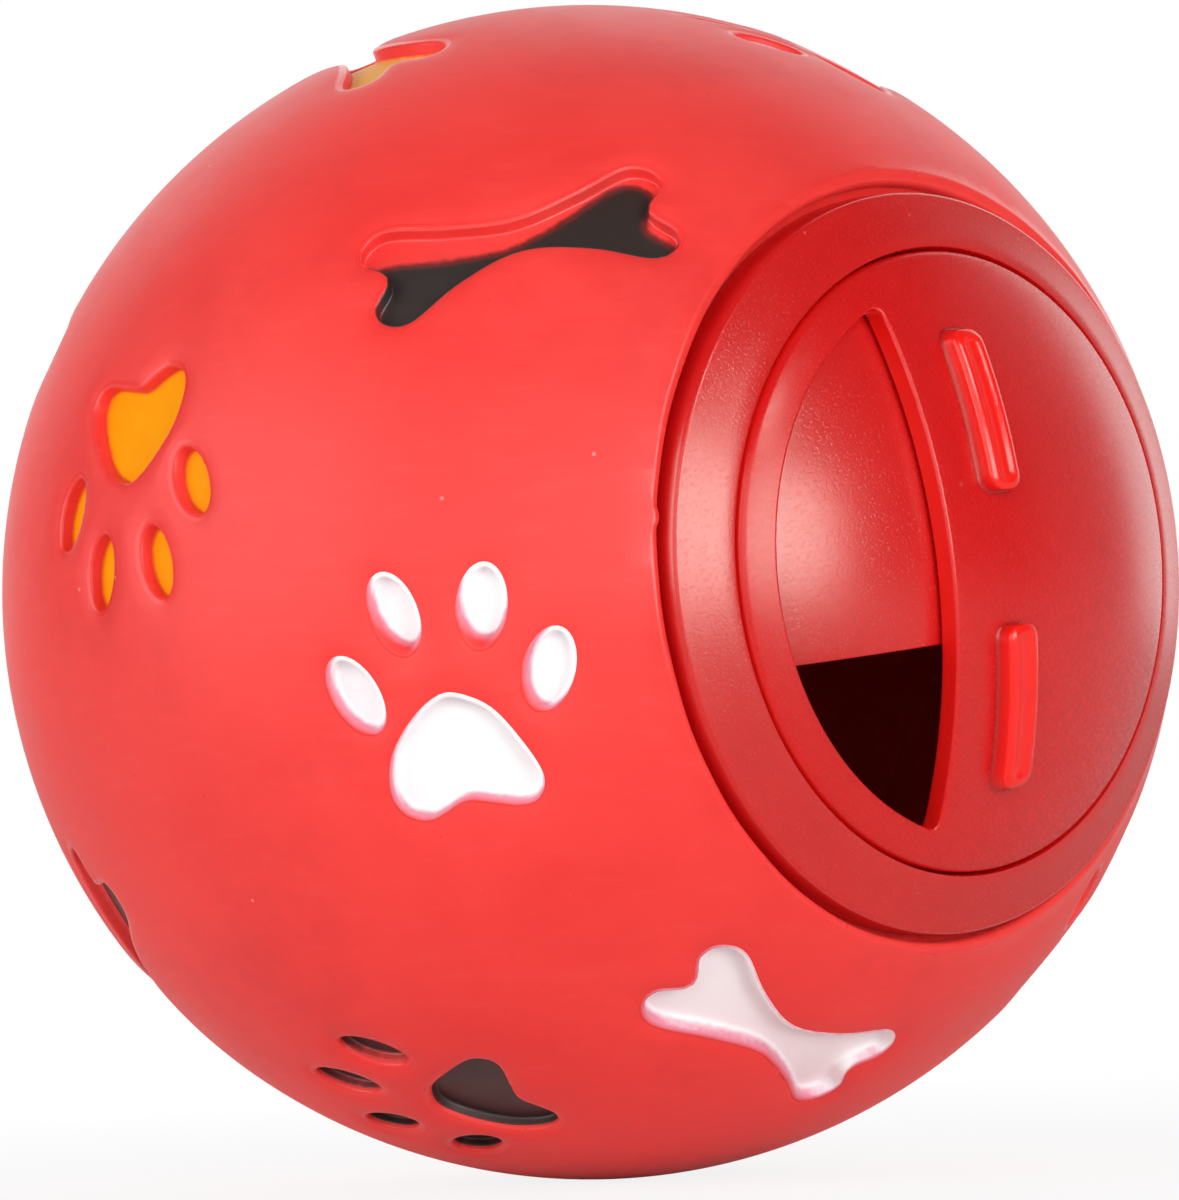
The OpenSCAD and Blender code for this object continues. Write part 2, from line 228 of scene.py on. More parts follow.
def arc(middle, r, start, end, steps):
    """Points on a part of a circle: middle + r (cos t, sin t), t from start to end in degrees."""
    t = np.radians(np.linspace(start, end, steps + 1))
    return np.asarray(middle) + r * np.stack([np.cos(t), np.sin(t)], axis=1)


def circle(r, count):
    """A whole circle, r (cos t, sin t)."""
    t = np.linspace(0, 2 * np.pi, count, endpoint=False)
    return r * np.stack([np.cos(t), np.sin(t)], axis=1)


def turned(flat, degrees):
    """Flat points turned round the origin."""
    t = np.radians(degrees)
    return flat @ np.array([[np.cos(t), np.sin(t)], [-np.sin(t), np.cos(t)]])


def paw_outlines():
    """The pad and its four toes. A toe is the oval (w/2 cos t, l/2 sin t), turned and moved."""
    oval = circle(1, 64) * [TOE_W / 2, TOE_L / 2]
    toes = [turned(oval, turn) + np.array([x, y]) * PAD_W for x, y, turn in TOES]
    return [evenly(smooth_ring(PAD), PAD_POINTS)] + [evenly(toe, TOE_POINTS) for toe in toes]


def bone_outlines():
    """A bone, from its quarter mirrored in both axes."""
    q = BONE_QUARTER
    ring = np.vstack([q, q[-2::-1] * [1, -1], q[1:] * [-1, -1], q[-2:0:-1] * [-1, 1]])
    return [evenly(smooth_ring(ring), BONE_POINTS)]


def half_moon(r, chord, turn, count):
    """The part of a disc beyond a straight edge on its -x side, with two rounded corners."""
    x = -chord - WINDOW_ROUND
    y = np.sqrt((r - WINDOW_ROUND) ** 2 - x ** 2)
    tip = np.degrees(np.arctan2(y, x))
    ring = np.vstack([
        arc((0, 0), r, tip, 360 - tip, 120),
        arc((x, -y), WINDOW_ROUND, -tip, 0, 10),
        arc((x, y), WINDOW_ROUND, 0, tip, 10)])
    return turned(evenly(ring[:-1], count), turn)


# ---- filling a flat shape with triangles ----

def near(points, ring, reach):
    """True for the points closer than reach to the points of a line."""
    return ((points[:, None] - ring[None]) ** 2).sum(axis=2).min(axis=1) < reach ** 2


def inside(points, ring, reach=0.0):
    """True for the points within a closed line, or nearer to it than reach. Within means that a
    line from the point to the right crosses the ring an odd number of times."""
    a, b = ring[None], np.roll(ring, -1, axis=0)[None]
    p = points[:, None]
    spans = (a[..., 1] > p[..., 1]) != (b[..., 1] > p[..., 1])
    rise = np.where(b[..., 1] == a[..., 1], 1e-12, b[..., 1] - a[..., 1])
    at = a[..., 0] + (p[..., 1] - a[..., 1]) * (b[..., 0] - a[..., 0]) / rise
    within = (spans & (p[..., 0] < at)).sum(axis=1) % 2 == 1
    if reach:
        within |= near(points, ring, reach)
    return within


def triangles_between(loops, loose):
    """Triangles over the loops and the loose points, the loops' points first and in order. The
    sides of every loop are kept as sides of triangles."""
    sides, start = [], 0
    for loop in loops:
        k = np.arange(len(loop))
        sides.append(np.stack([start + k, start + (k + 1) % len(loop)], axis=1))
        start += len(loop)
    flat = np.vstack(loops + [loose])
    made = delaunay_2d_cdt([Vector(p) for p in flat], np.vstack(sides).tolist(), [], 0, 1e-9)
    first = np.array([was[0] if was else -1 for was in made[3]])
    if len(first) > len(flat) or (first < 0).any():
        raise ValueError("the loops cross each other")
    return first[np.array(made[2])]


def spread_points(ring, step):
    """Points in rows within a closed line, each row half a step on from the last, and none of
    them too near to the line."""
    low, high = ring.min(axis=0), ring.max(axis=0)
    across = np.arange(low[0], high[0] + step, step)
    up = np.arange(low[1], high[1], step * ROW_HEIGHT)
    x, y = np.meshgrid(across, up)
    x = x + (np.arange(len(up)) % 2)[:, None] * step / 2
    points = np.stack([x.ravel(), y.ravel()], axis=1)
    return points[inside(points, ring) & ~near(points, ring, LINE_CLEAR * step)]


def from_ring(points, ring):
    """The distance of each point from a closed line: the least of its distances from the sides,
    where a side's nearest point is a + t (b - a) with t kept between 0 and 1."""
    a, side = ring[None], (np.roll(ring, -1, axis=0) - ring)[None]
    away = points[:, None] - a
    t = np.clip((away * side).sum(axis=2) / (side ** 2).sum(axis=2), 0, 1)
    return np.sqrt(((away - t[..., None] * side) ** 2).sum(axis=2).min(axis=1))


def plate_triangles(outer, holes, step):
    """Loose points and triangles of a flat shape with holes, the loops' points coming first."""
    loose = spread_points(outer, step)
    for hole in holes:
        loose = loose[~inside(loose, hole, LINE_CLEAR * step)]
    faces = triangles_between([outer] + holes, loose)
    middle = np.vstack([outer] + holes + [loose])[faces].mean(axis=1)
    keep = inside(middle, outer)
    for hole in holes:
        keep &= ~inside(middle, hole)
    return loose, faces[keep]


# ---- putting flat points in their place ----

def place_axes(place):
    """The three directions of a place on the ball: two in the surface and one out of it, which
    are x, y and z turned by the motif's turn, tipped by 90 - rise and swung round +Z."""
    swing, rise, turn = np.radians(place)
    tip = np.pi / 2 - rise
    c, s = np.cos, np.sin
    in_surface = np.array([[c(turn), -s(turn), 0], [s(turn), c(turn), 0], [0, 0, 1]])
    tipped = np.array([[1, 0, 0], [0, c(tip), -s(tip)], [0, s(tip), c(tip)]])
    swung = np.array([[c(swing), -s(swing), 0], [s(swing), c(swing), 0], [0, 0, 1]])
    return swung @ tipped @ in_surface


def carried_out(flat, r, axes):
    """Flat points carried straight out to a ball of radius r: (x, y, sqrt(r^2 - x^2 - y^2))."""
    r = np.broadcast_to(r, len(flat))
    out = np.sqrt(r ** 2 - (flat ** 2).sum(axis=1))
    return np.column_stack([flat, out]) @ axes.T


# The place of the mouth: x as it is, y upwards and z out of the ball along the dial's axis
FRONT = np.array([[1, 0, 0], [0, 0, -1], [0, 1, 0.0]])


def in_scene(name, data):
    """A new object with its data, in the scene."""
    made = bpy.data.objects.new(name, data)
    bpy.context.scene.collection.objects.link(made)
    return made


class Skin:
    """A mesh as it grows: points, faces of three or four points, and a number at each point."""

    def __init__(self):
        self.points, self.faces, self.marks, self.count = [], [], [], 0

    def add(self, points, mark=0.0):
        """Takes in points with their mark, and gives back their numbers in the mesh."""
        start = self.count
        self.points.append(points)
        self.marks.append(np.broadcast_to(mark, len(points)))
        self.count += len(points)
        return start + np.arange(len(points))

    def band(self, rings):
        """Joins rings of the same count of points, each to the next, by four-sided faces."""
        rings = np.asarray(rings)
        after = np.roll(rings, -1, axis=1)
        quads = np.stack([rings[:-1], after[:-1], after[1:], rings[1:]], axis=-1)
        self.faces.append(quads.reshape(-1, 4))

    def triangles(self, index, faces):
        """Takes in triangles whose corners are counted in a list of points of their own."""
        self.faces.append(index[faces])

    def fan(self, ring, tip):
        """Closes a ring by triangles that all meet in one new point."""
        tips = np.full(len(ring), self.add(tip)[0])
        self.faces.append(np.stack([ring, np.roll(ring, -1), tips], axis=1))

    def piece(self, name, mark_name, angle=None):
        """The mesh as an object in metres, its doubled points merged and its faces outwards. An
        edge that bends by more than the angle is sharp."""
        mesh = bpy.data.meshes.new(name)
        faces = [row for block in self.faces for row in block.tolist()]
        mesh.from_pydata((np.vstack(self.points) * 0.001).tolist(), [], faces)
        layer = mesh.attributes.new(mark_name, "FLOAT", "POINT")
        layer.data.foreach_set("value", np.concatenate(self.marks).astype(np.float32))
        work = bmesh.new()
        work.from_mesh(mesh)
        bmesh.ops.remove_doubles(work, verts=work.verts, dist=1e-7)
        bmesh.ops.dissolve_degenerate(work, edges=work.edges, dist=1e-8)
        bmesh.ops.recalc_face_normals(work, faces=work.faces)
        work.to_mesh(mesh)
        work.free()
        mesh.shade_smooth()
        if angle is not None:
            mesh.set_sharp_from_angle(angle=np.radians(angle))
        return in_scene(name, mesh)


def spun(skin, profile, count, mark=0.0):
    """A profile of radius and height carried round the dial's axis: (r cos t, -height, r sin t).
    Both may differ from turn to turn. It gives back the ring of points of each step of the
    profile."""
    way = circle(1, count)
    rings = []
    for r, height in profile:
        r, height = np.broadcast_to(r, count), np.broadcast_to(height, count)
        ring = np.column_stack([way * r[:, None], height]) @ FRONT.T
        rings.append(skin.add(ring, mark))
    skin.band(rings)
    return rings


# ---- the rubber ball ----

def motif_profile(share, floor_soft=FLOOR_SOFT):
    """From the edge of the floor (0) to the skin of the ball (1): how far in from the outline
    and how deep. A small hollow curve, then the wall, then the soft lip, a quarter of an oval."""
    wall_low = MOTIF_DEPTH - floor_soft
    if share < FOOT_END:
        t = share / FOOT_END * np.pi / 2
        return (LIP_SOFT + WALL_LEAN + floor_soft * (1 - np.sin(t)),
                wall_low + floor_soft * np.cos(t))
    if share < LIP_START:
        up = (share - FOOT_END) / (LIP_START - FOOT_END)
        return LIP_SOFT + WALL_LEAN * (1 - up), wall_low + (LIP_SOFT - wall_low) * up
    t = (share - LIP_START) / (1 - LIP_START) * np.pi / 2
    return LIP_SOFT * np.cos(t), (LIP_SOFT - DISH_DEPTH) * (1 - np.sin(t)) + DISH_DEPTH


def motif_rings(skin, outline, axes):
    """Rings of a motif's wall, one for each share of its profile. The lip is marked as rubbed."""
    rings = []
    for share in WALL_RINGS:
        in_from, depth = motif_profile(share)
        flat = outline + inward(outline) * in_from
        rubbed = np.clip((share - LIP_START) / RUBBED_OVER, 0, 1)
        rings.append(skin.add(carried_out(flat, BALL_R - depth, axes), rubbed))
    return rings


def outlines_of(kind):
    """The closed lines of a kind of motif."""
    return paw_outlines() if kind == "paw" else bone_outlines()


def sunk_to(distance):
    """The radius of the skin near a motif: it dips by depth (1 - d / reach)^2 towards the lip."""
    return BALL_R - DISH_DEPTH * np.clip(1 - distance / DISH_REACH, 0, 1) ** 2


def sunk_outline(skin, outline, axes):
    """One outline of a motif sunk into the ball: its floor, its wall and the strip of skin beside
    it. It gives back the outer ring of the strip, and where that ring is before it dips."""
    rings = motif_rings(skin, outline, axes)
    wide = carried_out(outline - inward(outline) * SKIN_STRIP, BALL_R, axes)
    rings.append(skin.add(wide * sunk_to(SKIN_STRIP) / BALL_R))
    skin.band(rings)
    in_from, _ = motif_profile(0)
    loose, faces = plate_triangles(outline + inward(outline) * in_from, [], FLOOR_STEP)
    inner = skin.add(carried_out(loose, BALL_R - MOTIF_DEPTH, axes))
    skin.triangles(np.concatenate([rings[0], inner]), faces)
    return rings[-1], wide


def dish_rings(outline, outlines, axes):
    """Points in rings round one outline of a motif, without those that lie nearer to another. The
    outer ring has three quarters as many."""
    rings = []
    for off in DISH_RINGS:
        ring = evenly(outline, len(outline) * 3 // 4) if off == DISH_RINGS[-1] else outline
        ring = ring - inward(ring) * off
        gap = np.min([from_ring(ring, other) for other in outlines], axis=0)
        rings.append(carried_out(ring[gap > off - 0.02], BALL_R, axes))
    return rings


def mouth_waver(t):
    """How far the soft mouth is out of round at each turn t: slow waves and small ripples, less
    the nick in its left side, exp(-u^2), where u is the turn from the nick in widths of it."""
    nick = np.exp(-((np.degrees(t) - NICK_TURN) / NICK_WIDTH) ** 2)
    waves = (0.24 * np.cos(t) + 0.27 * np.sin(t) - 0.13 * np.cos(2 * t)
             + 0.02 * np.sin(9 * t) + 0.015 * np.sin(23 * t + 1))
    return waves * MOUTH_WAVER - NICK_DEPTH * nick


def mouth_profile(waver, land):
    """The mouth from the skin inwards, as radius and height. The skin meets the land in a soft
    corner, (1-t)^2 skin + 2t(1-t) crossing + t^2 land. Then come the rim, a quarter of an oval,
    the seat of the ring, the lip round the neck, and the hollow."""
    fine, bevel = 0.1, 0.2
    land_z = np.sqrt(BALL_R ** 2 - land ** 2)
    skin_r, flat_r = land + CORNER, land - CORNER
    skin_z = np.sqrt(BALL_R ** 2 - skin_r ** 2)
    corner = [((1 - t) ** 2 * skin_r + 2 * t * (1 - t) * land + t ** 2 * flat_r,
               (1 - t) ** 2 * skin_z + (1 - (1 - t) ** 2) * land_z)
              for t in np.linspace(0, 1, 6)]
    flare = MOUTH_R + MOUTH_ROUND + waver
    wall = MOUTH_R + WALL_BACK + waver * WALL_WAVER
    rim = [(flare - (flare - wall) * np.sin(a), land_z - MOUTH_ROUND * (1 - np.cos(a)))
           for a in np.linspace(0, np.pi / 2, 7)]
    under = np.sqrt(HOLLOW_R ** 2 - LIP_Z ** 2)
    seat_and_lip = [
        (wall, SEAT_Z + fine), (wall - fine, SEAT_Z),
        (LIP_HOLE_R + bevel, SEAT_Z), (LIP_HOLE_R, SEAT_Z - bevel),
        (LIP_HOLE_R, LIP_Z + bevel), (LIP_HOLE_R + bevel, LIP_Z), (under - fine, LIP_Z)]
    bend = np.degrees(np.arctan2(LIP_Z, under))
    hollow = arc((0, 0), HOLLOW_R, bend - 0.2, 3 - 90, 36)
    return corner + rim + seat_and_lip + hollow.tolist()


def spiral_points(count):
    """Points all over the ball on a spiral: equal steps of height, each 137.5 degrees further
    round."""
    k = np.arange(count) + 0.5
    height = 1 - 2 * k / count
    out = np.sqrt(1 - height ** 2)
    turn = k * np.pi * (3 - np.sqrt(5))
    return BALL_R * np.stack([out * np.cos(turn), out * np.sin(turn), height], axis=1)


def over_motif(points, axes):
    """The numbers of the points that lie over a motif's part of the ball, and their flat places
    there."""
    local = points @ axes
    close = np.flatnonzero((local[:, 2] > 0) & (np.abs(local[:, :2]) < MOTIF_REACH).all(axis=1))
    return close, local[close, :2]


def flattened(points):
    """The ball drawn flat from the middle of the mouth: (x, z) / (R + y)."""
    return points[:, [0, 2]] / (BALL_R + points[:, 1:2])


def rubber_ball():
    """The ball with its sunk motifs, the mouth, the lip and the hollow. The skin between them is
    filled with the points of a spiral, and round each motif it dips into the motif's dish."""
    skin = Skin()
    loops, cuts, loose_rings = [], [], []
    for kind, _, place in MOTIFS.values():
        axes = place_axes(place)
        outlines = outlines_of(kind)
        for outline in outlines:
            loops.append(sunk_outline(skin, outline, axes))
            cuts.append((axes, outline - inward(outline) * SKIN_STRIP))
            loose_rings += dish_rings(outline, outlines, axes)
    waver = mouth_waver(np.linspace(0, 2 * np.pi, MOUTH_POINTS, endpoint=False))
    land = MOUTH_R + MOUTH_ROUND + MOUTH_LAND + waver * LAND_WAVER
    rings = spun(skin, mouth_profile(waver, land), MOUTH_POINTS, 1.0)
    skin.fan(rings[-1], np.array([[0, HOLLOW_R, 0.0]]))
    loops.append((rings[0], np.vstack(skin.points)[rings[0]]))

    loose = spiral_points(BALL_POINTS)
    loose = loose[(loose[:, 1] > 0) | (np.hypot(loose[:, 0], loose[:, 2]) > land.max() + 0.5)]
    for axes, outline in cuts:
        close, flat = over_motif(loose, axes)
        loose = np.delete(loose, close[inside(flat, outline, MOTIF_CLEAR)], axis=0)
    loose = np.vstack([loose] + loose_rings)
    off = np.full(len(loose), DISH_REACH)
    for axes, outline in cuts:
        close, flat = over_motif(loose, axes)
        off[close] = np.minimum(off[close], from_ring(flat, outline) + SKIN_STRIP)

    faces = triangles_between([flattened(points) for _, points in loops], flattened(loose))
    middle = np.vstack([points for _, points in loops] + [loose])[faces].mean(axis=1)
    keep = np.ones(len(faces), bool)
    for axes, outline in cuts:
        close, flat = over_motif(middle, axes)
        keep[close[inside(flat, outline)]] = False
    sunk = skin.add(loose * (sunk_to(off) / BALL_R)[:, None])
    skin.triangles(np.concatenate([ring for ring, _ in loops] + [sunk]), faces[keep])
    return skin.piece("rubber_ball", "rubbed")


# How far up the wall the film of paint goes, as a share of it, and the radius of its hollow curve
# where the paint pooled round the floor
CLIMB = {"white": 0.3, "orange": 0.18, "black": 0.25}
POOL = {"white": 0.45}

# How far the upper and the lower face of the film lie over the rubber
FILM_TOP = 0.025
FILM_UNDER = -0.01

# How the brush missed some motifs: how far up the wall their film goes, the turn and the move of
# the brush (for a paw one move for each of its five parts), how far the paint spread, how soft
# its border is, and the line below which it missed nothing on the left, or one below them all
NO_LINE = -99
PAW_MISSED = ((0.15, 0.3), (0.22, 0.3), (0.25, 0.68), (0.2, 0.68), (0.35, 0.3))
TOES_MISSED = ((0, 0), (0, 0), (0, 0), (0.16, 0), (0.24, 0))
BRUSHED = {
    "white_paw_front": (0.95, 0, PAW_MISSED, 0.24, 1, NO_LINE),
    "white_bone_lower": (0.95, 0, (0.06, 0.2), 0.14, 1, NO_LINE),
    "black_bone_upper": (0.7, 5, (-0.5, -1.45), 0.3, 2.4, -0.6),
    "black_paw_lower": (0.4, 0, TOES_MISSED, 0.32, 1, NO_LINE),
}


def depth_in(flat, ring):
    """How far in from a closed line each point lies, and less than nothing outside it."""
    depth = from_ring(flat, ring)
    return np.where(inside(flat, ring), depth, -depth)


def paint_of(name):
    """The paint in one motif: a thin closed film on the floor that climbs the wall to a share of
    it. The number at each point is the cover: how far in it lies, in millimetres, from the foot
    of the wall of the same outline, once that is turned and moved the way the brush missed, and
    grown the way it spread. On the left, below a given line, the outline's own cover counts if it
    is more."""
    kind, colour, place = MOTIFS[name]
    axes = place_axes(place)
    climb, missed_turn, missed, spread, soft, line = BRUSHED.get(
        name, (CLIMB[colour], 0, (0, 0), 0, 1, NO_LINE))
    pool = POOL.get(colour, FLOOR_SOFT)
    foot, _ = motif_profile(0)
    floor_in, _ = motif_profile(0, pool)
    shares = np.unique(np.minimum(PAINT_RINGS, climb))
    skin = Skin()
    outlines = outlines_of(kind)
    for outline, miss in zip(outlines, np.broadcast_to(missed, (len(outlines), 2))):
        brushed = turned(outline, missed_turn) + miss
        ways = inward(outline)

        def cover(flat):
            own = np.min([depth_in(flat, outline) - foot + spread, line - flat[:, 1],
                          -flat[:, 0]], axis=0)
            return np.maximum(depth_in(flat, brushed) - foot + spread, own) / soft

        top, under = [], []
        for share in shares:
            in_from, depth = motif_profile(share, pool)
            covered = cover(outline + ways * in_from)
            for rings, lift in ((top, FILM_TOP), (under, FILM_UNDER)):
                flat = outline + ways * (in_from + lift)
                rings.append(skin.add(carried_out(flat, BALL_R - depth + lift, axes), covered))
        skin.band(top + under[::-1])
        loose, faces = plate_triangles(outline + ways * (floor_in + FILM_TOP), [], PAINT_STEP)
        for rings, lift in ((top, FILM_TOP), (under, FILM_UNDER)):
            inner = skin.add(carried_out(loose, BALL_R - MOTIF_DEPTH + lift, axes), cover(loose))
            skin.triangles(np.concatenate([rings[0], inner]), faces)
    return skin.piece(name + "_paint", "cover")


# ---- the insert and the dial ----

def domed_plate(skin, outer, holes, outer_r, thickness, softs):
    """A plate bent to a ball, with holes. Each edge goes over a quarter of a circle of its own
    radius, down the wall, and over another quarter to the inside. Its walls are marked with how
    much painted glow they get: a brighter red that stands in for light coming through them."""
    t = np.linspace(0, np.pi / 2, 7)
    tops, unders, flats = [], [], []
    for number, (loop, soft) in enumerate(zip([outer] + holes, softs)):
        dips = np.concatenate([soft * (1 - np.cos(t)),
                               thickness - UNDER_ROUND * (1 - np.cos(t[::-1]))])
        backs = np.concatenate([soft * (1 - np.sin(t)), UNDER_ROUND * (1 - np.sin(t[::-1]))])
        ways = inward(loop) * (1 if number == 0 else -1)
        # Each ring of the wall is marked with its share of painted glow, more the deeper it lies
        rings = [skin.add(carried_out(loop + ways * back, outer_r - dip, FRONT),
                          min(1, dip / thickness * WALL_GLOW))
                 for back, dip in zip(backs, dips)]
        skin.band(rings)
        tops.append(rings[0])
        unders.append(rings[-1])
        flats.append((loop + ways * backs[0], loop + ways * backs[-1]))
    for side, rings, r in ((0, tops, outer_r), (1, unders, outer_r - thickness)):
        loops = [flat[side] for flat in flats]
        loose, faces = plate_triangles(loops[0], loops[1:], PLATE_STEP)
        inner = skin.add(carried_out(loose, r, FRONT))
        skin.triangles(np.concatenate(rings + [inner]), faces)


def insert_piece():
    """The ring, the neck and its bead in one turned shape, and the window plate with its hub."""
    skin = Skin()
    edge, fine, bevel = 0.2, 0.15, 0.3
    groove_r = DIAL_R + 0.08
    inner_z = np.sqrt(DOME_R ** 2 - POCKET_R ** 2)
    low_z = np.sqrt(PLATE_R ** 2 - POCKET_R ** 2)
    inner, outer = np.array([POCKET_R, inner_z]), np.array([RING_R - RING_ROUND, RING_Z])
    slope = (outer - inner) / np.linalg.norm(outer - inner)
    lean = np.degrees(np.arctan2(-slope[1], slope[0]))
    profile = np.vstack([
        # the wall of the pocket that the dial lies in, and its soft edge
        [[groove_r, low_z], [groove_r, inner_z - 0.7], [POCKET_R, inner_z - bevel],
         [POCKET_R, inner_z - edge], [POCKET_R + edge * 0.3, inner_z - edge * 0.45]],
        # the sloping face of the ring, with points near its ends that keep it straight
        inner + slope * edge * 1.3, inner + slope * 1.2, outer - slope * 0.5,
        # its round outer edge
        arc((RING_R - RING_ROUND, RING_Z - RING_ROUND), RING_ROUND, 90 - lean * 0.6, 0, 6),
        # its underside, the neck, the bead and the way back up inside
        [[RING_R, RING_UNDER_Z + fine], [RING_R - fine, RING_UNDER_Z],
         [NECK_R, RING_UNDER_Z], [NECK_R, BEAD_Z], [BEAD_R - bevel, BEAD_Z],
         [BEAD_R, BEAD_Z - bevel], [BEAD_R, BEAD_Z - BEAD_H], [NECK_R - 0.7, NECK_END_Z],
         [NECK_IN_R, NECK_END_Z], [NECK_IN_R, low_z]]])
    spun(skin, np.vstack([profile, profile[:1]]), RIM_POINTS)
    window = half_moon(PLATE_WINDOW_R, PLATE_CHORD, 90 + PLATE_TURN, PLATE_WINDOW_POINTS)
    rim_in_ring = circle(POCKET_R + 0.1, RIM_POINTS)
    domed_plate(skin, rim_in_ring, [window, circle(BORE_R, BORE_POINTS)], PLATE_R, PLATE_T,
                PLATE_EDGES)
    hub_top = np.sqrt((PLATE_R - PLATE_T * 0.5) ** 2 - HUB_R ** 2)
    spun(skin, np.array([[BORE_R, HUB_Z], [HUB_R - fine, HUB_Z], [HUB_R, HUB_Z + fine],
                         [HUB_R, hub_top], [BORE_R, hub_top], [BORE_R, HUB_Z]]), BORE_POINTS)
    return skin.piece("insert_moulding", "painted_glow_and_polish", angle=40)


# Half of a rib's section, from the dome up the wall and over the edge to the groove in its middle:
# the share of the way out from the middle line, and the height over the dome
RIB_SECTION = [
    (1.12, -0.3), (1.12, 0.0), (1.04, 0.05), (1.0, 0.16), (0.985, RIB_H - 0.34),
    (0.965, RIB_H - 0.22), (0.92, RIB_H - 0.145), (0.84, RIB_H - 0.095),
    (0.76, RIB_H - 0.045), (0.68, RIB_H - 0.01), (0.6, RIB_H), (0.52, RIB_H - 0.02),
    (0.42, RIB_H - 0.08), (0.3, RIB_H - 0.15), (0.15, RIB_H - 0.2), (0.0, RIB_H - 0.21)]


def rib(skin, side):
    """One grip rib: its outline shrinks by rings towards the line down its middle, at the heights
    of its section. It is closed below, inside the dial."""
    half_w, half_l = RIB_W / 2, RIB_L / 2
    corners = ((1, 1, 0), (-1, 1, 90), (-1, -1, 180), (1, -1, 270))
    ring = evenly(np.vstack([
        arc((x * (half_w - RIB_ROUND), y * (half_l - RIB_ROUND)), RIB_ROUND, t, t + 90, 10)
        for x, y, t in corners]), RIB_POINTS)
    spine = np.column_stack([np.zeros(len(ring)),
                             np.clip(ring[:, 1], half_w - half_l, half_l - half_w)])
    middle = np.array([[-RIB_SIDE, side * RIB_OUT]])
    rings = []
    for share, height in RIB_SECTION:
        flat = turned(spine + (ring - spine) * share, -side * RIB_LEAN)
        points = carried_out(turned(flat + middle, DIAL_TURN), DOME_R + height, FRONT)
        # The mark gives the rib's wall and top a painted glow and a smoother polish
        rings.append(skin.add(points, min(1, max(0, height) * WALL_GLOW)))
    skin.band(rings)
    skin.fan(rings[0], carried_out(turned(middle, DIAL_TURN), DOME_R - 0.4, FRONT))


def stud_prong(skin, quarter):
    """A quarter of the split stud: the piece of the tube between the two slots, whose outer
    radius widens to the barb and narrows to the tip. Its root is inside the dial."""
    root = DOME_R - DIAL_T - 0.05 + 0.3
    stations = [(root, STUD_R), (STUD_END_Z + BARB_L, STUD_R),
                (STUD_END_Z + BARB_L, BARB_R), (STUD_END_Z, STUD_R)]
    gap_in = np.degrees(np.arcsin(SLOT_W / 2 / STUD_HOLLOW_R))
    rings = []
    for height, outer in stations:
        gap_out = np.degrees(np.arcsin(SLOT_W / 2 / outer))
        ring = np.vstack([arc((0, 0), outer, gap_out, 90 - gap_out, 12),
                          arc((0, 0), STUD_HOLLOW_R, 90 - gap_in, gap_in, 6)])
        ring = turned(ring, quarter * 90 + DIAL_TURN)
        rings.append(skin.add(np.column_stack([ring, np.full(len(ring), height)]) @ FRONT.T))
    skin.band(rings)
    for ring in (rings[0], rings[-1]):
        skin.fan(ring, np.vstack(skin.points)[ring].mean(axis=0)[None])


def dial_piece():
    """The dial's dome with its window, the two grip ribs and the split stud behind."""
    skin = Skin()
    window = half_moon(DIAL_WINDOW_R, DIAL_CHORD, DIAL_TURN, DIAL_WINDOW_POINTS)
    domed_plate(skin, circle(DIAL_R, RIM_POINTS), [window], DOME_R, DIAL_T, DIAL_EDGES)
    for side in (-1, 1):
        rib(skin, side)
    for quarter in range(4):
        stud_prong(skin, quarter)
    return skin.piece("dial_moulding", "painted_glow_and_polish", angle=50)


# ---- finishes ----

def linear(r, g, b):
    """A screen colour from 0 to 255 as the light it stands for."""
    c = np.array([r, g, b]) / 255
    return tuple(np.where(c <= 0.04045, c / 12.92, ((c + 0.055) / 1.055) ** 2.4)) + (1,)


